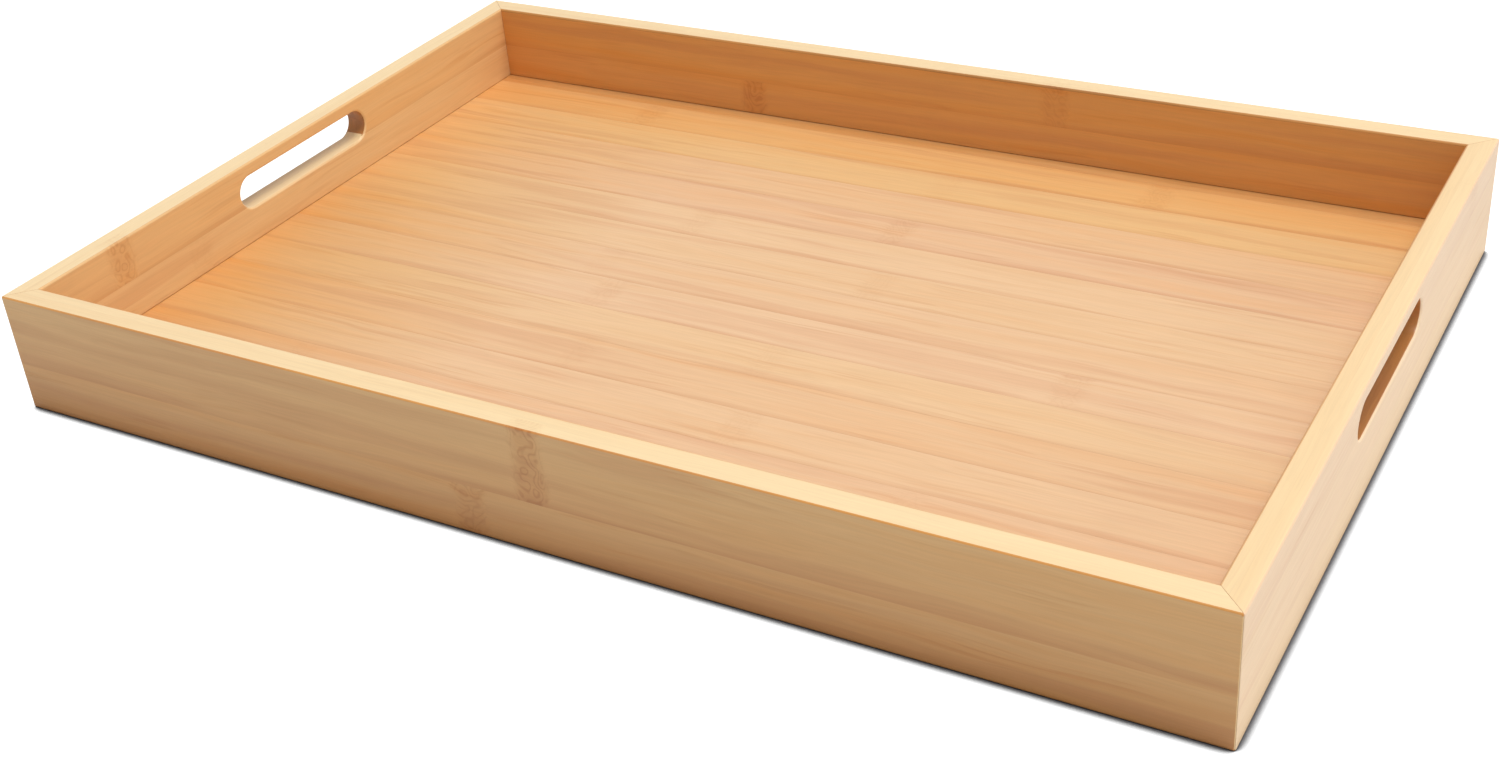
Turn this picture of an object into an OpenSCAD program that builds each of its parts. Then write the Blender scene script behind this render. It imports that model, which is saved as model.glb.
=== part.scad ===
// Laminated bamboo serving tray.
// Four rails are mitred round a floor of edge-glued staves. The floor sits in a
// groove that runs round the rails, and a loose spline is hidden in each mitre.
// The origin is the centre of the footprint, on the table. +X runs along the
// tray from handle to handle, -Y is its front and +Z is up. Millimetres.

/* [Tray] */
// Outside length, from handle to handle
tray_l = 432; // [300:1:600]
// Outside width, front to back
tray_w = 292; // [200:1:420]
// Height of the rails
tray_h = 44.5; // [40:0.5:80]

/* [Rails] */
// Thickness of each rail
rail_t = 9.5; // [9:0.5:14]
// Radius sanded on the rim, the bottom edges and the outer corners
edge_r = 0.8; // [0.4:0.1:1.5]

/* [Floor] */
// Width of one full stave
stave_w = 20; // [14:0.5:40]
// Thickness of the staves
floor_t = 6; // [4:0.5:8]
// Height of the underside of the floor above the table
floor_z = 7.5; // [5:0.5:10]
// How deep the groove for the floor is cut into the rails
groove_d = 4; // [2:0.5:4]

/* [Hand slots] */
// Length of each hand slot
slot_l = 75; // [60:1:120]
// Height of each hand slot
slot_h = 12.8; // [10:0.2:14]
// Height of the rail that is left above the slot, to hold on to
grip_h = 5.2; // [4:0.1:6.5]
// Radius rounded over on both mouths of the slot
slot_r = 1; // [0.4:0.1:1.4]

/* [Splines] */
// Thickness of the loose spline in each mitre
spline_t = 2; // [1.5:0.1:2.5]
// Width of the spline, across the joint
spline_w = 6; // [4:0.5:6.5]
// Height of the spline
spline_h = 18; // [10:1:20]

/* [Hidden] */
// Room left in the groove for the floor to swell, at its edges and above it
floor_gap = 0.25;
groove_gap = 0.1;
// Room left for glue past the ends and the sides of a spline
glue_gap = 0.2;
// How far a cutter runs past the face that it cuts
over = 1;

groove_h = floor_t + groove_gap;
floor_l = tray_l - 2 * (rail_t - groove_d + floor_gap);
floor_w = tray_w - 2 * (rail_t - groove_d + floor_gap);
slot_end_r = slot_h / 2;
slot_reach = slot_l / 2 - slot_end_r;
slot_z = tray_h - grip_h - slot_end_r;
spline_z = (floor_z + groove_h + tray_h) / 2;

// One stave lies on the tray's middle line. The outermost two are ripped to the
// width that is left, which is from a quarter of a stave to one and a quarter.
side_staves = ceil((floor_w / stave_w - 1.5) / 2);
stave_count = 2 * side_staves + 1;
function stave_name(i) = str("floor_stave_", i < 10 ? "0" : "", i);
function stave_front(i) = i == 1 ? -floor_w / 2 : (i - side_staves - 1.5) * stave_w;
function stave_back(i) = i == stave_count ? floor_w / 2 : (i - side_staves - 0.5) * stave_w;

long_rail_tan = "#DDB27C";
handle_rail_tan = "#E3BC8B";
spline_tan = "#B88A54";
stave_tans = ["#EBC394", "#E6BA86", "#EFC99B"];

// ---- Shapes that repeat ----

// A rectangle with its lowest corner at the origin and all four corners rounded
module rounded_rectangle(width, height, radius) {
    translate([radius, 0]) square([width - 2 * radius, height]);
    translate([0, radius]) square([width, height - 2 * radius]);
    for (x = [radius, width - radius], y = [radius, height - radius])
        translate([x, y]) circle(radius, $fn = 48);
}

// A rail's section. The outer face is at x = 0 and the grooved inner face at x = rail_t
module rail_section() {
    difference() {
        rounded_rectangle(rail_t, tray_h, edge_r);
        translate([rail_t - groove_d, floor_z]) square([groove_d + over, groove_h]);
    }
}

// A rail lying along X, mitred at both ends, with its outer face on y = 0
module mitred_rail(length) {
    intersection() {
        translate([-length / 2, 0, 0]) rotate([90, 0, 90])
            linear_extrude(length) rail_section();
        translate([0, 0, -over]) linear_extrude(tray_h + 2 * over)
            polygon([
                [-length / 2, 0],
                [length / 2, 0],
                [length / 2 - rail_t, rail_t],
                [rail_t - length / 2, rail_t]
            ]);
    }
}

// The upright prism that rounds the tray's four outer corners
module corner_rounding() {
    translate([-tray_l / 2, -tray_w / 2, -over]) linear_extrude(tray_h + 2 * over)
        rounded_rectangle(tray_l, tray_w, edge_r);
}

// A spline across one mitre, or its mortise when it is given room
module corner_spline(side_x, side_y, room) {
    translate([side_x * (tray_l - rail_t) / 2, side_y * (tray_w - rail_t) / 2, spline_z])
        rotate([0, 0, 45 * side_x * side_y])
            cube([spline_t, spline_w + 2 * room, spline_h + 2 * room], center = true);
}

module spline_mortises() {
    for (side_x = [-1, 1], side_y = [-1, 1])
        corner_spline(side_x, side_y, glue_gap);
}

// Half the section of a rounded mouth, which flares to the rail's face at y = 0
module mouth_section() {
    difference() {
        square([slot_end_r + slot_r, slot_r]);
        translate([slot_end_r + slot_r, slot_r]) circle(slot_r, $fn = 48);
    }
}

// One rounded mouth of a slot that lies along X, with the rail's face at z = 0
module slot_mouth() {
    for (x = [-slot_reach, slot_reach])
        translate([x, 0, 0]) rotate_extrude($fn = 96) mouth_section();
    for (flip = [0, 1])
        mirror([0, flip, 0]) translate([-slot_reach, 0, 0]) rotate([90, 0, 90])
            linear_extrude(2 * slot_reach) mouth_section();
}

// The cutter for a hand slot that lies along X and goes through a rail from z = 0
module slot_cutter() {
    for (x = [-slot_reach, slot_reach])
        translate([x, 0, -over]) cylinder(h = rail_t + 2 * over, r = slot_end_r, $fn = 96);
    translate([-slot_reach, -slot_end_r, -over])
        cube([2 * slot_reach, slot_h, rail_t + 2 * over]);
    slot_mouth();
    translate([0, 0, rail_t]) mirror([0, 0, 1]) slot_mouth();
}

// ---- Pieces ----

// One long rail. The front one is side -1 and the back one is side 1
module long_rail(side) {
    color(long_rail_tan) difference() {
        intersection() {
            rotate([0, 0, side < 0 ? 0 : 180])
                translate([0, -tray_w / 2, 0]) mitred_rail(tray_l);
            corner_rounding();
        }
        spline_mortises();
    }
}

// One short rail with a hand slot. The left one is side -1 and the right one is side 1
module handle_rail(side) {
    color(handle_rail_tan) difference() {
        intersection() {
            rotate([0, 0, 90 * side])
                translate([0, -tray_l / 2, 0]) mitred_rail(tray_w);
            corner_rounding();
        }
        spline_mortises();
        translate([side * tray_l / 2, 0, slot_z])
            rotate([0, 0, 90 * side]) rotate([-90, 0, 0]) slot_cutter();
    }
}

// One stave of the floor, counted from the front
module floor_stave(i) {
    color(stave_tans[i % len(stave_tans)])
        translate([-floor_l / 2, stave_front(i), floor_z])
            cube([floor_l, stave_back(i) - stave_front(i), floor_t]);
}

module loose_spline(side_x, side_y) {
    color(spline_tan) corner_spline(side_x, side_y, 0);
}

long_rail(-1);  // front_rail
long_rail(1);  // back_rail
handle_rail(-1);  // left_handle_rail
handle_rail(1);  // right_handle_rail
for (i = [1 : stave_count])
    floor_stave(i);
loose_spline(-1, -1);  // front_left_spline
loose_spline(1, -1);  // front_right_spline
loose_spline(-1, 1);  // back_left_spline
loose_spline(1, 1);  // back_right_spline
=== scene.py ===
# %% [markdown]
# # A serving tray of laminated bamboo
#
# The tray is four rails mitred round a flat floor. The two short rails each have a slot to
# carry it by. Everything is plain-pressed bamboo: strips about 20 mm wide, planed from the wall
# of the culm, laid flat and glued edge to edge and face to face, then sanded and lacquered.
#
# The script loads the tray's plain working model first, so that every new piece can take its
# place and size from it, and then makes the pieces again with softened edges and a real grain.

import math
import random

import bmesh
import bpy
from mathutils import Matrix, Quaternion, Vector


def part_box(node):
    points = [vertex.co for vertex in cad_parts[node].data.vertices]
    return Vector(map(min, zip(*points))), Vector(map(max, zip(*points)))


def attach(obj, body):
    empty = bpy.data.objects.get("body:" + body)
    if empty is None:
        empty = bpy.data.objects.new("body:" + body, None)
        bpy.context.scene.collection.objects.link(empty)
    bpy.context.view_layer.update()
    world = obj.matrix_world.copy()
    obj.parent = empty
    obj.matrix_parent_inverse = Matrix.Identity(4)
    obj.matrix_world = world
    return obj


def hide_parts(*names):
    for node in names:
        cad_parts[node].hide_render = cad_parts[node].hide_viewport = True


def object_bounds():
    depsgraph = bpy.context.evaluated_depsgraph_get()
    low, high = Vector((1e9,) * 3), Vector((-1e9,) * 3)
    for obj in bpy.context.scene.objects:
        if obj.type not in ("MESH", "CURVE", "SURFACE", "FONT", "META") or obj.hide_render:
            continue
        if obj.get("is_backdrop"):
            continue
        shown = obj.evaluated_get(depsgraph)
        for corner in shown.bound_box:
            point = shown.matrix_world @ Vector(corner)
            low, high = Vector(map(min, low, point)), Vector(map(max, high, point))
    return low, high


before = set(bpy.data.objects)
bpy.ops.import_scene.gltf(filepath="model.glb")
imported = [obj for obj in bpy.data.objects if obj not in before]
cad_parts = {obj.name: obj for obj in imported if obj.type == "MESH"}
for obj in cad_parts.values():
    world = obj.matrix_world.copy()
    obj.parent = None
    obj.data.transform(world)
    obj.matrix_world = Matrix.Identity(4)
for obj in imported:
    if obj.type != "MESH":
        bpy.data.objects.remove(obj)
cad_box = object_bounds()
tray_low, tray_high = cad_box
model_size = [round(1000 * length, 1) for length in tray_high - tray_low]
print("Working model:", len(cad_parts), "pieces,", model_size, "mm")

# %% [markdown]
# ## Camera, table and light
#
# The camera comes first, because the framing decides how much detail each piece needs. The tray
# is seen from its front right and a little more than 30 degrees above the table, with the
# camera turned a few degrees about its own axis.
#
# `to_track_quat` turns an object so that one axis looks along a direction. Cameras and lights
# both look along their own -Z, so one helper aims either.

# %% Camera
MM = 0.001
CAMERA_PLACE = (0.318, -0.529, 0.3535)
CAMERA_TARGET = (0.0286, -0.0619, 0.020)
CAMERA_ROLL = math.radians(-5.0)


def aim(item, place, target, roll=0.0):
    """Puts a camera or a light at place, looking at target, turned by roll about its own axis."""
    look = (Vector(target) - Vector(place)).to_track_quat("-Z", "Y")
    item.location = place
    item.rotation_mode = "QUATERNION"
    item.rotation_quaternion = look @ Quaternion((0, 0, 1), roll)


camera_data = bpy.data.cameras.new("camera")
camera_data.lens = 47.8
camera_data.sensor_width = 36.0
camera_data.clip_start = 0.01
camera = bpy.data.objects.new("camera", camera_data)
bpy.context.scene.collection.objects.link(camera)
aim(camera, place=CAMERA_PLACE, target=CAMERA_TARGET, roll=CAMERA_ROLL)
bpy.context.scene.camera = camera
print("Camera to tray:", round(camera.location.length, 3), "m")

# %% [markdown]
# The key light is a large soft square almost overhead, so the rails throw hardly any shadow on
# the floor. It stands a little to the right and a little behind, which leaves the front in its
# own shade. A weaker side light, low on the right, is there for the walls that face it. An even,
# pale world fills the shade.
#
# A white table throws so much light back up that the shade under the rims would be lost, and a
# grey one looks dirty. The Light Path node tells the two jobs apart: what the eye sees is an even
# white, like a lightbox, and what lights the tray is a plain pale grey. The white goes out within
# a few millimetres of the tray, where Ambient Occlusion finds the table covered, and a dark grey
# is laid there instead: a thin painted contact shadow.
#
# `Standard` is the plain view transform. Under `AgX` the pale bamboo would turn grey.

# %% Table, world and lights
TABLE_SIZE = 30.0
WORLD_FILL = 0.5
# name: power in watts and place in metres
LIGHTS = {"key": (91.0, (0.9, 0.35, 3.5)), "side": (17.0, (3.0, 0.3, 0.9))}
LIGHT_SIZE = 1.6
TABLE_WHITE = 1.3
CONTACT_SHADOW_WIDTH = 6 * MM
# how open the table is, from 0 to 1, where the painted contact shadow is darkest and where it has gone
COVERED = 0.54
UNCOVERED = 0.77


def add_node(tree, kind, inputs=(), **settings):
    """Adds a node with its settings, and sets or links each of its inputs."""
    made = tree.nodes.new(kind)
    for name, value in settings.items():
        setattr(made, name, value)
    for key, value in dict(inputs).items():
        if isinstance(value, bpy.types.NodeSocket):
            tree.links.new(value, made.inputs[key])
        else:
            made.inputs[key].default_value = value
    return made


def linear(colour):
    """An sRGB hex colour, such as "#EBC394", as the linear RGBA that a socket takes."""
    parts = [int(colour[i:i + 2], 16) / 255 for i in (1, 3, 5)]
    return [p / 12.92 if p <= 0.04045 else ((p + 0.055) / 1.055) ** 2.4 for p in parts] + [1.0]


def new_material(name):
    """An empty node material, with the tree to build it in."""
    material = bpy.data.materials.new(name)
    material.use_nodes = True
    material.node_tree.nodes.clear()
    return material, material.node_tree


def make_object(bm, name, material):
    """Turns a finished bmesh into an object with one material."""
    mesh = bpy.data.meshes.new(name)
    bm.to_mesh(mesh)
    bm.free()
    mesh.materials.append(material)
    made = bpy.data.objects.new(name, mesh)
    bpy.context.scene.collection.objects.link(made)
    return made


table_paint, tree = new_material("matt_white_table")
ray = add_node(tree, "ShaderNodeLightPath")
grey = add_node(tree, "ShaderNodeBsdfDiffuse", {"Color": linear("#E0E0DE")})
cover = add_node(tree, "ShaderNodeAmbientOcclusion", {"Distance": CONTACT_SHADOW_WIDTH}, samples=16)
clear = add_node(tree, "ShaderNodeMapRange", {
    "Value": cover.outputs["AO"], "From Min": COVERED, "From Max": UNCOVERED})
white = add_node(tree, "ShaderNodeEmission", {"Color": linear("#FFFFFF"), "Strength": TABLE_WHITE})
# painted contact shadow: a dark grey laid on the table where it is covered
dark = add_node(tree, "ShaderNodeBsdfDiffuse", {"Color": linear("#58585C")})
open_table = add_node(tree, "ShaderNodeMixShader", {0: ray.outputs["Is Camera Ray"], 1: grey.outputs[0],
                                                    2: white.outputs[0]})
table_look = add_node(tree, "ShaderNodeMixShader", {0: clear.outputs[0], 1: dark.outputs[0],
                                                    2: open_table.outputs[0]})
add_node(tree, "ShaderNodeOutputMaterial", {"Surface": table_look.outputs[0]})

bm = bmesh.new()
bmesh.ops.create_grid(bm, x_segments=1, y_segments=1, size=TABLE_SIZE / 2)
table = make_object(bm, "table", table_paint)
table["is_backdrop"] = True

world = bpy.data.worlds.new("studio")
world.use_nodes = True
world.node_tree.nodes.clear()
ray = add_node(world.node_tree, "ShaderNodeLightPath")
strength = add_node(world.node_tree, "ShaderNodeMapRange", {
    "Value": ray.outputs["Is Camera Ray"], "To Min": WORLD_FILL, "To Max": 1.0})
sky = add_node(world.node_tree, "ShaderNodeBackground", {
    "Color": linear("#FBFBFD"), "Strength": strength.outputs["Result"]})
add_node(world.node_tree, "ShaderNodeOutputWorld", {"Surface": sky.outputs["Background"]})
bpy.context.scene.world = world
bpy.context.scene.view_settings.view_transform = "Standard"

for name, (power, place) in LIGHTS.items():
    light_data = bpy.data.lights.new(name, "AREA")
    light_data.size = LIGHT_SIZE
    light_data.energy = power
    light = bpy.data.objects.new(name, light_data)
    bpy.context.scene.collection.objects.link(light)
    aim(light, place=place, target=(0, 0, 0))
print("Table ready, lights:", len(LIGHTS))

# %% [markdown]
# ## Measures
#
# Lengths that the working model already has are read from its pieces' boxes, so the finished
# pieces fit it. Only what a box can't tell is named here: the roundings, the hand slots and the
# room that is left round the floor.
#
# The rims and corners of such a tray are broken by hand with a sanding block, to a radius of
# under a millimetre, and the mouths of the slots are rounded with a router bit.

# %% Sizes of the rails, the floor and the slots
# in metres: lengths less apart than SAME are the same, and points less than ON_CUT from a cut are on it
SAME = 1e-6
ON_CUT = 1e-7
ARRIS = 0.8 * MM
SEAM = 0.07 * MM
SLOT_LENGTH = 75 * MM
SLOT_HEIGHT = 12.8 * MM
GRIP_HEIGHT = 5.2 * MM
SLOT_LIP = 1.0 * MM
FLOOR_GAP = 0.25 * MM
GROOVE_ROOM = 0.1 * MM
GROOVE_LIP = 0.3 * MM

rail_low, rail_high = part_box("front_rail")
rail_thick = rail_high.y - rail_low.y
stave_low, stave_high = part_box("floor_stave_01")
groove_depth = rail_high.y - stave_low.y + FLOOR_GAP
groove_low = stave_low.z
groove_high = stave_high.z + GROOVE_ROOM
half_length = tray_high.x
half_width = tray_high.y
print("Rails", round(rail_thick / MM, 2), "mm thick, groove", round(groove_depth / MM, 2), "mm deep")

# %% [markdown]
# ## The frame
#
# A mitred frame can be modelled rail by rail, but then the four corners have to be made to
# agree. Here the frame is made whole and sawn apart afterwards, so the pieces are sure to meet:
# a box is inset top and bottom, and the two openings are bridged into a ring.
#
# `inset_individual` shrinks each picked face in place, which leaves the four-sided band of the
# rim round it. Deleting the shrunken faces and bridging their edges makes the inner walls.

# %% Ring


def box_bmesh(low, high):
    """A bmesh that holds one box, given by two opposite corners."""
    bm = bmesh.new()
    size = Vector(high) - Vector(low)
    place = Matrix.Translation((Vector(high) + Vector(low)) / 2) @ Matrix.Diagonal((*size, 1))
    bmesh.ops.create_cube(bm, size=1, matrix=place)
    return bm


ring = box_bmesh(tray_low, tray_high)
ends = [face for face in ring.faces if abs(face.normal.z) > 0.5]
bmesh.ops.inset_individual(ring, faces=ends, thickness=rail_thick, use_even_offset=True)
openings = list({edge for face in ends for edge in face.edges})
bmesh.ops.delete(ring, geom=ends, context="FACES_ONLY")
bmesh.ops.bridge_loops(ring, edges=openings)
print("Ring:", len(ring.faces), "faces")

# %% [markdown]
# The floor sits in a groove that a saw or a cutter runs along each rail. Two cuts mark its
# edges on the inner walls, and extruding the band between them sinks the groove. Moving each
# new vertex outwards by the groove's depth, away from the middle of the tray, makes the four
# grooves meet at the corners. An extruded region keeps its first faces, so those are deleted.
# The groove's upper lip is broken a little, which draws the thin line between wall and floor.

# %% Groove


def cut_across(bm, faces, place, normal):
    """Scores the picked faces along a plane, and leaves both sides."""
    geom = list({item for face in faces for item in (face, *face.edges, *face.verts)})
    bmesh.ops.bisect_plane(bm, geom=geom, dist=ON_CUT, plane_co=place, plane_no=normal)


def inner_walls(bm):
    """The faces of the walls that look at the middle of the tray."""
    return [face for face in bm.faces
            if abs(face.normal.z) < 0.5 and face.normal.dot(face.calc_center_median()) < 0]


ring.normal_update()
for height in (groove_low, groove_high):
    cut_across(ring, inner_walls(ring), (0, 0, height), (0, 0, 1))
band = [face for face in inner_walls(ring) if groove_low < face.calc_center_median().z < groove_high]
sunk = bmesh.ops.extrude_face_region(ring, geom=band)["geom"]
for vert in (item for item in sunk if isinstance(item, bmesh.types.BMVert)):
    vert.co.x += math.copysign(groove_depth, vert.co.x)
    vert.co.y += math.copysign(groove_depth, vert.co.y)
bmesh.ops.delete(ring, geom=band, context="FACES")
ring.normal_update()
lips = [edge for edge in ring.edges
        if all(abs(vert.co.z - groove_high) < SAME and abs(vert.co.x) < half_length - rail_thick + SAME
               and abs(vert.co.y) < half_width - rail_thick + SAME for vert in edge.verts)]
bmesh.ops.bevel(ring, geom=lips, offset=GROOVE_LIP, segments=2, profile=0.5, affect="EDGES", material=-1)
print("Groove:", len(sunk), "new corners, edges and faces; lips broken:", len(lips))

# %% [markdown]
# The sharp edges, or arrises, are broken next. They are picked by place: the edges round the rim
# and the underside, inside and out, and the four upright corners. One bevel over all of them at
# once blends the corners properly where three meet, which separate bevels wouldn't.

# %% Arrises
# the least angle in radians between two faces for the edge between them to be sharp
SHARP = 1.0


def on_arris(edge):
    """True for the edges of the rim, the underside and the outer corners."""
    a, b = (vert.co for vert in edge.verts)
    level = abs(a.z - b.z) < SAME and min(abs(a.z - tray_low.z), abs(a.z - tray_high.z)) < SAME
    sharp = len(edge.link_faces) == 2 and edge.calc_face_angle() > SHARP
    corner = all(abs(co.x) > half_length - SAME and abs(co.y) > half_width - SAME for co in (a, b))
    return (level and sharp) or corner


ring.normal_update()
arrises = [edge for edge in ring.edges if on_arris(edge)]
bmesh.ops.bevel(ring, geom=arrises, offset=ARRIS, segments=4, profile=0.5, affect="EDGES", material=-1)
print("Arrises broken:", len(arrises))

# %% [markdown]
# ## The hand slots and the mortises
#
# Each slot is routed right through a short rail. A Boolean modifier does the same with a cutter
# of the slot's shape, and one long bar cuts both slots at once. The bar is a box whose four long
# edges are bevelled by a hair under half its height, so its section is a slot with round ends.
#
# A glued mitre is weak, so a loose spline is let into each one. The same modifier cuts the room
# for the splines, as a box inside each corner that the saw will lay open. The box is a copy of
# the spline with a little more width and height, for the glue.

# %% Cutters
GLUE_ROOM = 0.2 * MM
SPLINE_THICK = 2 * MM
SPLINE_WIDTH = 6 * MM
ALMOST_HALF = 0.49999

slot_high = tray_high.z - GRIP_HEIGHT
slot_low = slot_high - SLOT_HEIGHT
bar_reach = half_length + 5 * MM
cutters = box_bmesh((-bar_reach, -SLOT_LENGTH / 2, slot_low), (bar_reach, SLOT_LENGTH / 2, slot_high))
long_edges = [edge for edge in cutters.edges if abs(edge.verts[0].co.x - edge.verts[1].co.x) > bar_reach]
bmesh.ops.bevel(cutters, geom=long_edges, offset=ALMOST_HALF * SLOT_HEIGHT, segments=16, profile=0.5,
                affect="EDGES", material=-1)

splines = {name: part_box(name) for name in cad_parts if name.endswith("_spline")}
spline_high = max(high.z for _, high in splines.values()) + GLUE_ROOM
spline_low = min(low.z for low, _ in splines.values()) - GLUE_ROOM
for low, high in splines.values():
    middle = (low + high) / 2
    turn = Matrix.Rotation(math.radians(math.copysign(45, middle.x * middle.y)), 4, "Z")
    size = Matrix.Diagonal((SPLINE_THICK, SPLINE_WIDTH + 2 * GLUE_ROOM, spline_high - spline_low, 1))
    bmesh.ops.create_cube(cutters, size=1, matrix=Matrix.Translation(middle) @ turn @ size)
print("Cutters:", len(cutters.faces), "faces")

# %% [markdown]
# The modifier is evaluated and its mesh taken back into bmesh, where the edges round the four
# mouths of the slots get their own rounding.

# %% Cut, and round the mouths
cutter = make_object(cutters, "cutter", table_paint)
whole = make_object(ring, "whole_frame", table_paint)
cut = whole.modifiers.new("slots and mortises", "BOOLEAN")
cut.operation = "DIFFERENCE"
cut.object = cutter
cut.solver = "EXACT"
routed = bmesh.new()
routed.from_mesh(whole.evaluated_get(bpy.context.evaluated_depsgraph_get()).to_mesh())
for helper in (whole, cutter):
    bpy.data.objects.remove(helper)


def on_mouth(edge):
    """True for the edges where a slot breaks through a rail's face."""
    if len(edge.link_faces) != 2 or edge.calc_face_angle() < SHARP:
        return False
    a, b = (vert.co for vert in edge.verts)
    at_slot = all(abs(co.y) < SLOT_LENGTH / 2 + MM and slot_low - MM < co.z < slot_high + MM for co in (a, b))
    return at_slot and abs(a.x - b.x) < SAME


routed.normal_update()
bmesh.ops.remove_doubles(routed, verts=routed.verts, dist=SAME)
mouths = [edge for edge in routed.edges if on_mouth(edge)]
bmesh.ops.bevel(routed, geom=mouths, offset=SLOT_LIP, segments=4, profile=0.5, affect="EDGES", material=-1)
print("Slot mouths rounded:", len(mouths), "edges")

# %% [markdown]
# ## Sawing the frame into rails
#
# Each rail is what is left between two mitre cuts. `bisect_plane` with `clear_outer` throws away
# everything on the side that the plane's normal points to. The cut face has the mortise as a
# hole in it, so it is closed with `triangle_fill`, which leaves holes open. A hair's breadth of
# bevel round the cut face makes the fine V that a glued mitre shows.

# %% Rails
SIDES = {
    "front_rail": Vector((0, -1, 0)),
    "back_rail": Vector((0, 1, 0)),
    "left_handle_rail": Vector((-1, 0, 0)),
    "right_handle_rail": Vector((1, 0, 0)),
}


def round_the_joint(edge, corner):
    """True for the edges of a mitre that show, and false for those of the mortise inside it."""
    middle = (edge.verts[0].co + edge.verts[1].co) / 2
    heart = corner - Vector((math.copysign(1, corner.x), math.copysign(1, corner.y), 0)) * rail_thick / 2
    return (middle - heart).to_2d().length > SPLINE_THICK or not spline_low - MM < middle.z < spline_high + MM


def saw_rail(whole_frame, side):
    """A copy of the frame, cut down to the rail on one side, with its mitres closed."""
    bm = whole_frame.copy()
    glued = bm.faces.layers.int.new("glued")
    along = Vector((side.y, side.x, 0))
    for end in (along, -along):
        corner = Vector(((side.x + end.x) * half_length, (side.y + end.y) * half_width, 0))
        geom = [*bm.verts, *bm.edges, *bm.faces]
        sawn = bmesh.ops.bisect_plane(bm, geom=geom, dist=ON_CUT, plane_co=corner,
                                      plane_no=(end - side).normalized(), clear_outer=True)
        cut_edges = [item for item in sawn["geom_cut"] if isinstance(item, bmesh.types.BMEdge)]
        filled = bmesh.ops.triangle_fill(bm, edges=cut_edges, use_beauty=True)["geom"]
        mitre = {item for item in filled if isinstance(item, bmesh.types.BMFace)}
        seam = [edge for edge in {edge for face in mitre for edge in face.edges}
                if len(mitre.intersection(edge.link_faces)) == 1 and round_the_joint(edge, corner)]
        bevelled = bmesh.ops.bevel(bm, geom=seam, offset=SEAM, segments=1, profile=0.5, affect="EDGES",
                                   material=-1)
        for face in bevelled["faces"]:
            face[glued] = 1
    bmesh.ops.recalc_face_normals(bm, faces=bm.faces)
    return bm


rails = {name: saw_rail(routed, side) for name, side in SIDES.items()}
routed.free()
for name, bm in rails.items():
    gaps = sum(1 for edge in bm.edges if len(edge.link_faces) != 2)
    print(name, len(bm.faces), "faces, open edges:", gaps, "volume", round(bm.calc_volume() / MM**3), "mm3")

# %% [markdown]
# ## Strips in the rails
#
# A rail is two plies of strips, glued with their joints staggered. A pattern that should follow
# the strips has to know which strip a point is in, and where. It could be worked out in the
# material from the point's coordinates, but that takes a tangle of nodes for every wall.
#
# Here the mesh carries it. Each ply is scored along its strips' joints, so that no face belongs
# to two strips, and three attributes are written on the corners of each face. `grain` is the
# place within the strip: along it from a knuckle, across it from its middle, and through it.
# `strip` is its seed, its tone and its darkening: the glued edges of the mitres are stained, the floor
# darkens towards its left end, and the slots and the feet of the long walls take painted shade.
# `knuckle` is how far apart the knuckles, the rings of the culm, are, how plainly they show, and
# how yellow the strip is.

# %% Writing the strip on the mesh
STRIP_WIDTH = 20 * MM
MITRE_STAIN = 0.8
# what the dice choose between: the distance between knuckles in mm, and how plain they are
RING_GAPS = (215, 300)
RING_DEPTHS = (0.05, 0.2)
# how far a strip strays either way from the tone and the yellowness that it is given
TONE_SPREAD = 0.06
YELLOW_SPREAD = 0.2
dice = random.Random(43)


def new_strip(tone, yellow, arris=0.0, rim=0.0, ring_place=None, ring_gap=None, ring_depth=None):
    """One strip of bamboo: what the material needs to know to draw it."""
    gap = dice.uniform(*RING_GAPS) * MM
    place = dice.uniform(-0.5, 0.5) * gap
    depth = dice.uniform(*RING_DEPTHS)
    seed = dice.random()
    return {
        "place": place if ring_place is None else ring_place * MM,
        "gap": gap if ring_gap is None else ring_gap * MM,
        "depth": depth if ring_depth is None else ring_depth,
        "seed": seed,
        "tone": tone + dice.uniform(-TONE_SPREAD, TONE_SPREAD),
        "yellow": yellow + dice.uniform(-YELLOW_SPREAD, YELLOW_SPREAD),
        "arris": arris,
        "rim": rim,
    }


def mark_strip(bm, faces, axes, middle, strip, surface):
    """Writes a strip on its faces. The rows of axes point along, across and through the strip."""
    layers = bm.loops.layers.float_vector
    grain, kind, knuckle = (layers.get(key) or layers.new(key) for key in ("grain", "strip", "knuckle"))
    glued = bm.faces.layers.int.get("glued")
    for face in faces:
        glue = MITRE_STAIN * face[glued] if glued else 0.0
        for corner in face.loops:
            place = corner.vert.co
            tone, yellow, depth, stain_and_shade = surface(face, place, strip)
            corner[grain] = axes @ (place - middle) - Vector((strip["place"], 0, 0))
            corner[kind] = (strip["seed"], tone, max(stain_and_shade, glue))
            corner[knuckle] = (strip["gap"], depth, yellow)


print("Strips are", STRIP_WIDTH / MM, "mm wide")

# %% [markdown]
# The strips in the outer ply meet at other heights than those in the inner ply. The top strip of
# a ply runs on up to the rim, and in the short rails they are laid so that no joint comes out
# along the sill of a hand slot. Where a knuckle is plain to see, its place along the rail is
# given. The others fall where the dice put them.

# %% Plies and strips
# heights of the joints in the outer and the inner ply; one below 0 is planed away
LONG_JOINTS = ((-2.0 * MM, 18.0 * MM), (8.0 * MM, 28.0 * MM))
SHORT_JOINTS = ((13.0 * MM, 33.0 * MM), (8.0 * MM, 28.0 * MM))
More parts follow.
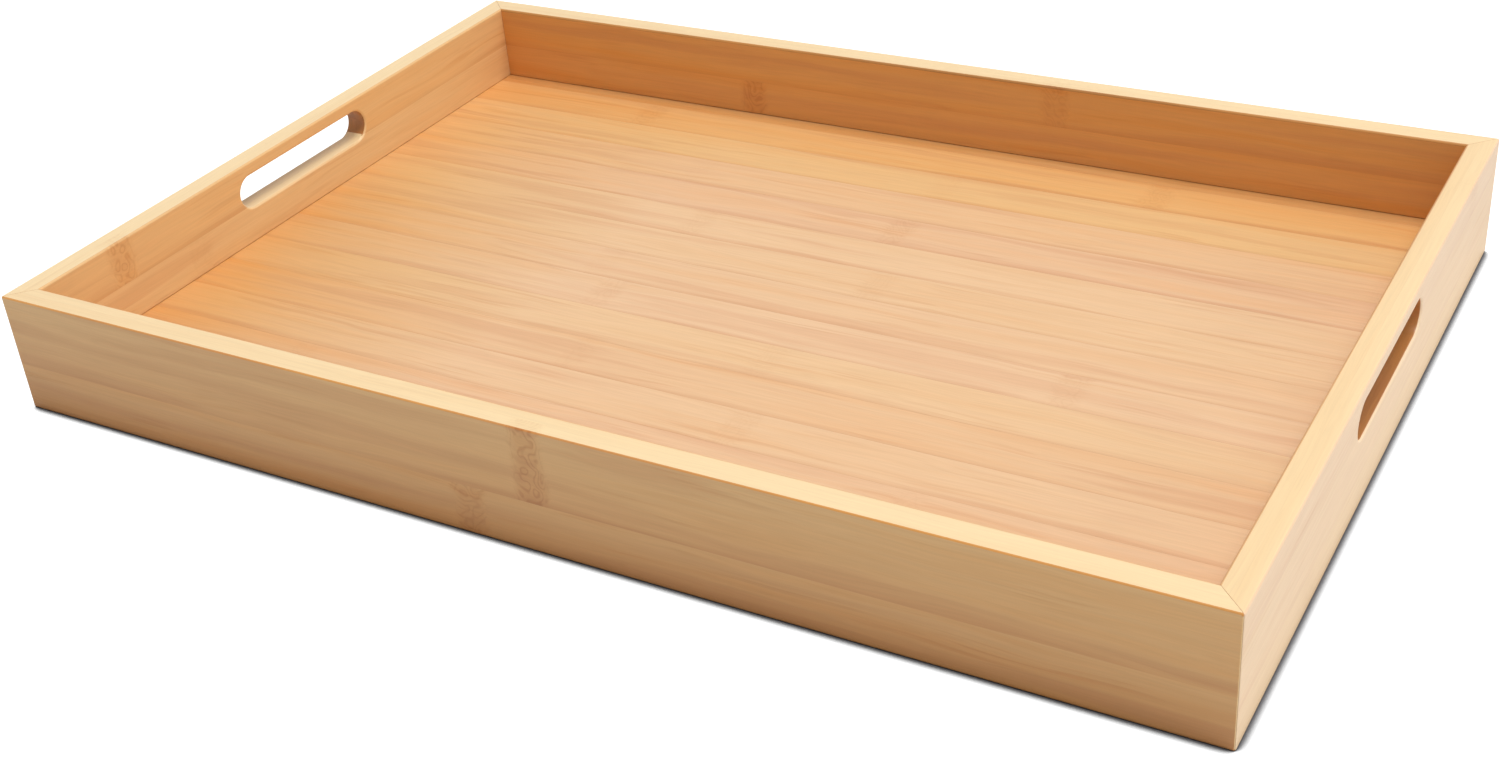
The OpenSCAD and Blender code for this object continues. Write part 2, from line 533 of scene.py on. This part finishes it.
# rail: tone, yellowness, darkness of the arrises and tone of the rim, for the outer and inner ply
PLY_LOOKS = {
    "front_rail": ((0.39, 1.05, 0.35, 0.03), (0.50, 0.8, 0.05, 0.03)),
    # the back rail's inner ply has its arrises painted darker, as painted shade
    "back_rail": ((0.38, 0.8, 0.15, 0.03), (0.77, 1.0, 0.2, 0.03)),
    "left_handle_rail": ((0.35, 0.7, 0.05, 0.0), (0.39, 1.0, 0.0, 0.03)),
    "right_handle_rail": ((0.14, 0.25, 0.05, 0.07), (0.50, 0.8, 0.05, 0.11)),
}
# rail, ply and row: place along the rail and distance to the next in mm, and how plain it is
PLAIN_KNUCKLES = {
    ("front_rail", 0, 2): (1, 330, 1.0),
    ("front_rail", 0, 1): (-23.5, 420, 0.6),
    ("back_rail", 1, 2): (54, 410, 0.45),
    ("back_rail", 1, 1): (-80, 360, 0.8),
    ("left_handle_rail", 1, 2): (-99.5, 300, 0.8),
}
print("Knuckles given a place:", len(PLAIN_KNUCKLES))

# %% [markdown]
# Not every face of a strip looks the same. The rims are sanded across the edges of the strips,
# where the wood is paler, and knuckles hardly show. The cheeks of the slots, cut across the plies,
# are painted the darkest, as painted shade inside the slots. Their rounded mouths are painted pale
# as painted highlights, and the sill of the left slot is painted pale as painted light. The tray's
# four upright corners are painted pale as painted highlights too. The other arrises are darker,
# and on the back rail's inner ply that darkening is painted shade. The long walls are painted
# darker towards their feet, as painted shade near the table.

# %% Looks of the surfaces
# how far a face's unit normal reaches along an axis: square to it, mostly so, leaning, hardly
SQUARE = 0.98
MOSTLY = 0.8
LEANING = 0.2
HARDLY = 0.1
RIM_YELLOW = 0.8
RIM_KNUCKLE = 0.3
# the cheeks of the slots are painted dark, as painted shade
CHEEK_PAINTED_SHADE_TONE = 0.95
CHEEK_PAINTED_SHADE_DARKENING = 0.35
# the left slot's sill is painted pale, as painted light
SILL_PAINTED_LIGHT_TONE = 0.05
# the rounded slot mouths are painted pale, as painted highlights
MOUTH_PAINTED_HIGHLIGHT_TONE = -0.15
# the upright corner arrises are painted pale, as painted highlights
CORNER_PAINTED_HIGHLIGHT_TONE = -0.25
# the long walls are painted darker towards their feet, as painted shade near the table
FOOT_PAINTED_SHADE_TONE = 0.27
FOOT_PAINTED_SHADE_DARKENING = 0.85
FOOT_PAINTED_SHADE_HEIGHT = 28 * MM


def in_slot(face):
    """True for the cheeks of the hand slots and their rounded mouths."""
    place = face.calc_center_median()
    return (abs(place.y) < SLOT_LENGTH / 2 + SLOT_LIP and slot_low - SLOT_LIP < place.z < slot_high + SLOT_LIP
            and abs(place.x) > half_length - rail_thick - MM and abs(face.normal.x) < SQUARE)


def rail_surface(face, place, strip):
    """Tone, yellowness, plainness of the knuckles and darkening at one place on a rail, with painted shade
    and highlights in the slots, on the corners and at the feet.
    """
    tone, yellow, depth = strip["tone"], strip["yellow"], strip["depth"]
    straight = max(abs(length) for length in face.normal) > SQUARE
    if in_slot(face):
        if abs(face.normal.x) > LEANING:
            return tone + MOUTH_PAINTED_HIGHLIGHT_TONE, yellow, depth, 0.0
        if place.x < 0 and face.normal.z > MOSTLY:
            return SILL_PAINTED_LIGHT_TONE, yellow, 0.0, 0.0
        return CHEEK_PAINTED_SHADE_TONE, yellow, 0.0, CHEEK_PAINTED_SHADE_DARKENING
    if face.normal.z > SQUARE and place.z > tray_high.z - ARRIS:
        return strip["rim"], RIM_YELLOW, RIM_KNUCKLE * depth, 0.0
    if abs(face.normal.z) < HARDLY and not straight:
        return tone + CORNER_PAINTED_HIGHLIGHT_TONE, yellow, depth, 0.0
    if straight and abs(face.normal.y) > SQUARE and face.normal.y * place.y > 0:
        low = max(0.0, 1 - place.z / FOOT_PAINTED_SHADE_HEIGHT)
        return tone + FOOT_PAINTED_SHADE_TONE * low, yellow, depth, FOOT_PAINTED_SHADE_DARKENING * low
    return tone if straight else tone + strip["arris"], yellow, depth, 0.0


def lay_strips(bm, name, side):
    """Splits a rail into plies and strips, writes the strips, and counts them and their faces."""
    glue_line = side * (abs(side.x) * half_length + abs(side.y) * half_width - rail_thick / 2)
    cut_across(bm, list(bm.faces), glue_line, side)
    axes = Matrix((Vector((abs(side.y), abs(side.x), 0)), Vector((0, 0, 1)), side))
    strips = marked = 0
    for ply, joints in enumerate(LONG_JOINTS if abs(side.y) > 0.5 else SHORT_JOINTS):
        for height in joints:
            in_ply = [face for face in bm.faces
                      if ((face.calc_center_median() - glue_line).dot(side) > 0) == (ply == 0)]
            cut_across(bm, in_ply, (0, 0, height), (0, 0, 1))
        rows = zip((joints[0] - STRIP_WIDTH, *joints), (*joints, tray_high.z + ARRIS))
        for row, (low, high) in enumerate(rows):
            middle = glue_line + Vector((0, 0, low + STRIP_WIDTH / 2))
            strip = new_strip(*PLY_LOOKS[name][ply], *PLAIN_KNUCKLES.get((name, ply, row), ()))
            faces = [face for face in bm.faces
                     if ((face.calc_center_median() - glue_line).dot(side) > 0) == (ply == 0)
                     and low < face.calc_center_median().z < high]
            mark_strip(bm, faces, axes, middle, strip, rail_surface)
            strips += 1 if faces else 0
            marked += len(faces)
    return strips, marked


for name, bm in rails.items():
    bm.normal_update()
    strips, marked = lay_strips(bm, name, SIDES[name])
    print(name, "strips:", strips, "and", marked, "of", len(bm.faces), "faces marked")

# %% [markdown]
# ## The floor
#
# The floor is a panel of strips glued edge to edge, with a second ply under it. Each stave of the
# panel stays a piece of its own. Its place and size come from the working model's box for it, and
# a bevel of a twentieth of a millimetre leaves the faint joint line that sanding doesn't remove.
# The two outer staves are ripped down to what is left of the width. The three staves at the back
# come from a yellower batch, and the last two are deeper as well. The floor's top grows darker and
# yellower towards its left end, least of all at the back, so each stave is scored across where that
# change begins.

# %% Staves
STAVE_EDGE = 0.05 * MM
FLOOR_TONE = 0.38
FLOOR_YELLOW = 0.25
UNDER_TONE = 0.42
LEFT_END_START = 0.35
LEFT_END_TONE = 0.27
LEFT_END_YELLOW = 0.95
LEFT_END_DARKENING = 0.35
LEFT_END_BACK = 0.8
# stave: how much deeper and how much yellower it is
BACK_STAVES = {13: (0.0, 0.65), 14: (0.15, 0.9), 15: (0.2, 0.9)}
# stave: place of its knuckle and distance to the next in mm, and how plain it is
STAVE_KNUCKLES = {
    7: (-55.5, 177, 0.20),
    9: (33.5, 290, 0.15),
    10: (-51.5, 300, 0.15),
    11: (22.5, 290, 0.25),
    14: (-122.5, 224, 0.30),
}


def floor_surface(face, place, strip):
    """The same for the floor, whose top grows darker and yellower towards the left."""
    left = max(0.0, (-place.x / half_length - LEFT_END_START) / (1 - LEFT_END_START))
    left = left if face.normal.z > 0 else 0.0
    left_end = left * (1 - LEFT_END_BACK * max(0.0, place.y / half_width))
    tone = strip["tone"] + LEFT_END_TONE * left_end
    return tone, strip["yellow"] + LEFT_END_YELLOW * left, strip["depth"], LEFT_END_DARKENING * left_end


names = sorted(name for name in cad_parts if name.startswith("floor_stave_"))
staves = {}
for number, name in enumerate(names, start=1):
    low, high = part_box(name)
    bm = box_bmesh(low, high)
    bmesh.ops.bevel(bm, geom=list(bm.edges), offset=STAVE_EDGE, segments=1, profile=0.5,
                    affect="EDGES", material=-1)
    middle = (low + high) / 2
    cut_across(bm, list(bm.faces), (-LEFT_END_START * half_length, 0, 0), (1, 0, 0))
    if number == 1:
        middle.y = high.y - STRIP_WIDTH / 2
    if number == len(names):
        middle.y = low.y + STRIP_WIDTH / 2
    deeper, yellower = BACK_STAVES.get(number, (0, 0))
    for up, tone in ((1, FLOOR_TONE + deeper), (-1, UNDER_TONE)):
        axes = Matrix(((1, 0, 0), (0, 1, 0), (0, 0, up)))
        rings = STAVE_KNUCKLES.get(number, ()) if up == 1 else ()
        strip = new_strip(tone, FLOOR_YELLOW + yellower, 0.0, 0.0, *rings)
        faces = [face for face in bm.faces if (face.calc_center_median().z > middle.z) == (up == 1)]
        mark_strip(bm, faces, axes, middle, strip, floor_surface)
    staves[name] = bm
print("Staves:", len(staves))

# %% [markdown]
# ## Lacquered bamboo
#
# Plain-pressed bamboo, sanded to about 240 grit and given two thin coats of satin lacquer. What
# the eye gets is fine darker lines along the strip, which are bundles of fibres cut lengthwise,
# a slow drift from straw to honey, and at each knuckle a ring of fibres that swirl as they cross.
# The lacquer gives a broad, soft shine.
#
# Everything is drawn from noise that is stretched along the strip: `grain` is multiplied by one
# over the pattern's real length, width and depth. The strip's seed is added, so no two strips
# cut through the same noise.

# %% Reading the strip
# how far a seed, which is from 0 to 1, moves a strip through the noise, in the noise's own units
SEED_SHIFT = (371, 913, 537)

bamboo, tree = new_material("lacquered_bamboo")
grain = add_node(tree, "ShaderNodeAttribute", attribute_name="grain").outputs["Vector"]
strip_read = add_node(tree, "ShaderNodeAttribute", attribute_name="strip")
knuckle_read = add_node(tree, "ShaderNodeAttribute", attribute_name="knuckle")
within = add_node(tree, "ShaderNodeSeparateXYZ", {0: grain})
strip = add_node(tree, "ShaderNodeSeparateXYZ", {0: strip_read.outputs["Vector"]})
knuckle = add_node(tree, "ShaderNodeSeparateXYZ", {0: knuckle_read.outputs["Vector"]})
shift = add_node(tree, "ShaderNodeVectorMath", {
    0: strip.outputs["X"], 1: SEED_SHIFT}, operation="MULTIPLY")
print("The material reads grain, strip and knuckle")

# %% [markdown]
# The knuckles come round every so often, so the distance to the nearest one is the place along
# the strip, wrapped to half a gap either way. A coarse noise moves it about by a millimetre or
# two, which makes the ring's edges ragged.

# %% Distance to the nearest knuckle
RING_RAGGED = 4.0 * MM
RING_HALF = 5.0 * MM
RING_FADE = 5.0 * MM
RAGGED_SIZE = (9, 5, 5)


def stretched(place, size):
    """The place in a pattern whose features are size (length, width, depth) in mm."""
    scale = [1 / (MM * length) for length in size]
    return add_node(tree, "ShaderNodeVectorMath", {0: place, 1: scale, 2: shift.outputs[0]},
                    operation="MULTIPLY_ADD").outputs[0]


half_gap = add_node(tree, "ShaderNodeMath", {0: knuckle.outputs["X"], 1: 0.5}, operation="MULTIPLY")
minus_half = add_node(tree, "ShaderNodeMath", {0: knuckle.outputs["X"], 1: -0.5}, operation="MULTIPLY")
to_ring = add_node(tree, "ShaderNodeMath", {0: within.outputs["X"], 1: half_gap.outputs[0],
                                            2: minus_half.outputs[0]}, operation="WRAP")
ragged = add_node(tree, "ShaderNodeTexNoise", {
    "Vector": stretched(grain, RAGGED_SIZE), "Scale": 1.0, "Detail": 2.0})
moved = add_node(tree, "ShaderNodeMapRange", {"Value": ragged.outputs["Fac"], "To Min": -RING_RAGGED / 2,
                                              "To Max": RING_RAGGED / 2})
ring_place = add_node(tree, "ShaderNodeMath", {0: to_ring.outputs[0], 1: moved.outputs[0]})
ring_away = add_node(tree, "ShaderNodeMath", {0: ring_place.outputs[0]}, operation="ABSOLUTE")
in_ring = add_node(tree, "ShaderNodeMapRange", {
    "Value": ring_away.outputs[0], "From Min": RING_HALF + RING_FADE / 2,
    "From Max": RING_HALF - RING_FADE / 2, "To Max": knuckle.outputs["Y"]}, interpolation_type="SMOOTHSTEP")
print("A knuckle is about", 2 * RING_HALF / MM, "mm long")

# %% [markdown]
# The fibres are never quite straight. A slow noise moves them about by a millimetre or two on
# their way along the strip, in waves about as long as a finger, and within a knuckle a quick one
# makes them curl.

# %% Bent fibres
WANDER = 4.0 * MM
CURL = 4.0 * MM
SLOW_SIZE = (55, 9, 9)
QUICK_SIZE = (6, 5, 5)

slow = add_node(tree, "ShaderNodeTexNoise", {
    "Vector": stretched(grain, SLOW_SIZE), "Scale": 1.0, "Detail": 1.0})
quick = add_node(tree, "ShaderNodeTexNoise", {
    "Vector": stretched(grain, QUICK_SIZE), "Scale": 1.0, "Detail": 1.0})
wander = add_node(tree, "ShaderNodeVectorMath", {0: slow.outputs["Color"], 1: (0, WANDER, WANDER), 2: grain},
                  operation="MULTIPLY_ADD")
curled = add_node(tree, "ShaderNodeVectorMath", {0: quick.outputs["Color"], "Scale": in_ring.outputs[0]},
                  operation="SCALE")
bent = add_node(tree, "ShaderNodeVectorMath", {
    0: curled.outputs[0], 1: (0, CURL, CURL), 2: wander.outputs[0]}, operation="MULTIPLY_ADD").outputs[0]
print("Fibres wander by up to", WANDER / 2 / MM, "mm either way")

# %% [markdown]
# Four sizes of the same stretched noise make the grain. The bands are the slow change in tone
# across a strip, the patches say where the bundles show, the bundles are the lines themselves,
# one or two millimetres apart, and the fibres are the silky streaks between them. The palest
# surfaces show the least of all this. A fifth noise, the curls, is rounder. Folding it back and
# forth turns it into lines like the contours on a map, and those are the swirls in a knuckle.

# %% Grain
CURL_STEP = 0.09
BETWEEN_PATCHES = 0.15
# the tone from which the grain shows in full, and how much of it the palest surfaces show
FULL_TONE = 0.38
PALEST_SHOW = 0.1
# pattern: length, width and depth of its features in mm, and how much finer detail it has
PATTERNS = {
    "bands": (200, 7.5, 7.5, 2.0),
    "patches": (75, 8, 8, 2.0),
    "bundles": (60, 1.6, 1.6, 2.0),
    "fibres": (24, 0.6, 0.6, 2.0),
    "curls": (4.2, 6.5, 6.5, 0.0),
}
pattern = {}
for name, (*size, detail) in PATTERNS.items():
    noise = add_node(tree, "ShaderNodeTexNoise", {
        "Vector": stretched(bent, size), "Scale": 1.0, "Detail": detail})
    pattern[name] = noise.outputs["Fac"]
patchy = add_node(tree, "ShaderNodeMapRange", {
    "Value": pattern["patches"], "From Min": 0.47, "From Max": 0.67, "To Min": BETWEEN_PATCHES},
    interpolation_type="SMOOTHSTEP")
plain = add_node(tree, "ShaderNodeMapRange", {
    "Value": strip.outputs["Y"], "From Max": FULL_TONE, "To Min": PALEST_SHOW})
showing = add_node(tree, "ShaderNodeMath", {0: patchy.outputs[0], 1: plain.outputs[0]}, operation="MULTIPLY")
lines = add_node(tree, "ShaderNodeMapRange", {
    "Value": pattern["bundles"], "From Min": 0.50, "From Max": 0.34, "To Max": showing.outputs[0]},
    interpolation_type="SMOOTHSTEP")
shade = add_node(tree, "ShaderNodeMapRange", {
    "Value": pattern["bands"], "From Min": 0.52, "From Max": 0.32, "To Max": plain.outputs[0]},
    interpolation_type="SMOOTHSTEP")
loops = add_node(tree, "ShaderNodeMath", {0: pattern["curls"], 1: CURL_STEP}, operation="PINGPONG")
swirls = add_node(tree, "ShaderNodeMapRange", {
    "Value": loops.outputs[0], "From Min": 0.4 * CURL_STEP, "From Max": CURL_STEP,
    "To Max": in_ring.outputs[0]}, interpolation_type="SMOOTHSTEP")
print("Patterns:", ", ".join(pattern))

# %% [markdown]
# Glue shows as a hairline wherever two strips or two plies meet. `grain` tells how far a point is
# from the lower edge of its strip, or the front edge of its stave, and how far it is from the
# glue between the plies. The smaller of the two counts. Each strip is also a little darker
# towards that edge, in a soft line that follows its bent fibres. It is this soft line that tells
# two strips apart, more than the glue does.

# %% Glue lines and dark edges
GLUE = 0.11 * MM
GLUE_FAINT = 0.3
DARK_EDGE = 2.6 * MM

into = add_node(tree, "ShaderNodeMath", {0: within.outputs["Z"]}, operation="ABSOLUTE")
to_edge = add_node(tree, "ShaderNodeMath", {0: within.outputs["Y"], 1: STRIP_WIDTH / 2})
nearest = add_node(tree, "ShaderNodeMath", {0: to_edge.outputs[0], 1: into.outputs[0]}, operation="MINIMUM")
joint = add_node(tree, "ShaderNodeMapRange", {
    "Value": nearest.outputs[0], "From Min": 1.6 * GLUE, "From Max": 0.4 * GLUE, "To Max": plain.outputs[0]},
    interpolation_type="SMOOTHSTEP")
faint = add_node(tree, "ShaderNodeMath", {0: joint.outputs[0], 1: GLUE_FAINT}, operation="MULTIPLY")
# the strip's darkening brings in the mitre staining, the floor's left end and the painted shade
stain_and_shade = add_node(tree, "ShaderNodeMath", {0: faint.outputs[0], 1: strip.outputs["Z"]}, operation="MAXIMUM")
bent_across = add_node(tree, "ShaderNodeSeparateXYZ", {0: bent}).outputs["Y"]
edge_place = (WANDER - STRIP_WIDTH) / 2
dark_edge = add_node(tree, "ShaderNodeMapRange", {
    "Value": bent_across, "From Min": edge_place + DARK_EDGE, "From Max": edge_place,
    "To Max": plain.outputs[0]}, interpolation_type="SMOOTHSTEP")
print("The dark edge is about", DARK_EDGE / MM, "mm wide")

# %% [markdown]
# The colours are laid over each other from the broadest to the finest. A colour ramp turns a
# strip's tone to straw, honey or amber, and each finer layer multiplies it by a tint, so that a
# dark strip keeps its hue under them.

# %% Colour
# how far the bands move a strip's tone, either way
DRIFT = 0.09
# the darkest and the lightest of the silky streaks, as shares of the colour
SILK = (0.96, 1.03)
# tint, where it shows, and how strongly
LAYERS = (
    ("#FFFFE4", knuckle.outputs["Z"], 1.0),
    ("#E2B999", shade.outputs[0], 0.38),
    ("#D9AE8C", lines.outputs[0], 0.22),
    ("#D9AE8C", dark_edge.outputs[0], 0.22),
    ("#DDB483", in_ring.outputs[0], 0.30),
    ("#C9945A", swirls.outputs[0], 0.32),
    # darkening: stained mitres, the floor's left end, and painted shade in the slots and at the wall feet
    ("#A9764A", stain_and_shade.outputs[0], 0.45),
)
TONES = {0.0: "#F4D8B8", 0.4: "#E6BC93", 0.8: "#E29D5A", 1.0: "#B67D46"}

drift = add_node(tree, "ShaderNodeMapRange", {"Value": pattern["bands"], "From Min": 0.3, "From Max": 0.7,
                                              "To Min": -DRIFT, "To Max": DRIFT})
tone = add_node(tree, "ShaderNodeMath", {0: strip.outputs["Y"], 1: drift.outputs[0]})
ramp = add_node(tree, "ShaderNodeValToRGB", {0: tone.outputs[0]})
stops = ramp.color_ramp.elements
for position, hex_colour in TONES.items():
    stop = stops[0] if position == 0.0 else stops[-1] if position == 1.0 else stops.new(position)
    stop.color = linear(hex_colour)
silk = add_node(tree, "ShaderNodeMapRange", {"Value": pattern["fibres"], "From Min": 0.3, "From Max": 0.7,
                                             "To Min": SILK[0], "To Max": SILK[1]})
streaked = add_node(tree, "ShaderNodeVectorMath", {
    0: ramp.outputs["Color"], "Scale": silk.outputs[0]}, operation="SCALE")
colour = streaked.outputs[0]
for tint, where, amount in LAYERS:
    part = add_node(tree, "ShaderNodeMath", {0: where, 1: amount}, operation="MULTIPLY")
    layer = add_node(tree, "ShaderNodeMix", {0: part.outputs[0], 6: colour, 7: linear(tint)},
                     data_type="RGBA", blend_type="MULTIPLY")
    colour = layer.outputs[2]
print("Colour layers:", len(LAYERS))

# %% [markdown]
# Satin lacquer over sanded wood is a fairly rough gloss, a little rougher where the open bundles
# drink it in. Those bundles also sink by some hundredths of a millimetre, which the bump draws:
# they are far too fine to be worth modelling.

# %% Lacquer and bump
OPEN_ROUGH = 0.52
CLOSED_ROUGH = 0.38

relief = add_node(tree, "ShaderNodeMath", {0: pattern["fibres"], 1: lines.outputs[0]}, operation="SUBTRACT")
bump = add_node(tree, "ShaderNodeBump", {"Strength": 0.6, "Distance": 0.03 * MM, "Height": relief.outputs[0]})
rough = add_node(tree, "ShaderNodeMapRange", {"Value": relief.outputs[0], "From Min": -0.4, "From Max": 0.7,
                                              "To Min": OPEN_ROUGH, "To Max": CLOSED_ROUGH})
shader = add_node(tree, "ShaderNodeBsdfPrincipled", {
    "Base Color": colour, "Roughness": rough.outputs[0], "IOR": 1.5, "Coat Weight": 0.15,
    "Coat Roughness": 0.3, "Normal": bump.outputs[0]})
add_node(tree, "ShaderNodeOutputMaterial", {"Surface": shader.outputs["BSDF"]})
print("Lacquered bamboo:", len(tree.nodes), "nodes")

# %% [markdown]
# The splines are offcuts of the same bamboo, neither sanded nor lacquered, and hidden once the
# corners are glued. They keep the working model's shapes. Those carry no attributes, so their
# material reads Object coordinates, with the fibres running upright.

# %% Raw bamboo
RAW_FIBRE = (0.8, 0.8, 30)

raw_bamboo, tree = new_material("raw_bamboo")
place = add_node(tree, "ShaderNodeTexCoord")
mapping = add_node(tree, "ShaderNodeMapping", {
    "Vector": place.outputs["Object"], "Scale": [1 / (MM * length) for length in RAW_FIBRE]})
noise = add_node(tree, "ShaderNodeTexNoise", {"Vector": mapping.outputs[0], "Scale": 1.0, "Detail": 3.0})
ramp = add_node(tree, "ShaderNodeValToRGB", {0: noise.outputs["Fac"]})
for stop, position, hex_colour in zip(ramp.color_ramp.elements, (0.3, 0.7), ("#CFA46B", "#EBCF9E")):
    stop.color = linear(hex_colour)
    stop.position = position
bump = add_node(tree, "ShaderNodeBump", {
    "Strength": 0.5, "Distance": 0.05 * MM, "Height": noise.outputs["Fac"]})
shader = add_node(tree, "ShaderNodeBsdfPrincipled", {
    "Base Color": ramp.outputs["Color"], "Roughness": 0.7, "Normal": bump.outputs[0]})
add_node(tree, "ShaderNodeOutputMaterial", {"Surface": shader.outputs["BSDF"]})
for name in splines:
    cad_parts[name].material_slots[0].material = raw_bamboo
print("Raw bamboo on", len(splines), "splines")

# %% [markdown]
# ## Putting the tray together
#
# Every piece already lies in its place, so all that is left is to make it an object named after
# its solid in the working model, with the lacquered bamboo, to hang it under the tray's body and
# to hide that solid. The faces are shaded smooth so that the broken arrises look round, and a
# Weighted Normal modifier keeps the wide flat faces flat.

# %% Pieces
for shapes, finish in ((rails, "rail_bamboo"), (staves, "floor_bamboo")):
    for name, bm in shapes.items():
        for face in bm.faces:
            face.smooth = True
        piece = make_object(bm, name + "_bamboo", bamboo)
        flat = piece.modifiers.new("flat faces stay flat", "WEIGHTED_NORMAL")
        flat.weight = 100
        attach(piece, "root")
        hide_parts(name)
print("Pieces:", len(rails) + len(staves))

# %% Sizes, and finish
visual_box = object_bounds()
size = {"cad": [list(corner) for corner in cad_box], "visual": [list(corner) for corner in visual_box]}
print("Box of the finished tray:", [round(length / MM, 2) for length in visual_box[1] - visual_box[0]], "mm")
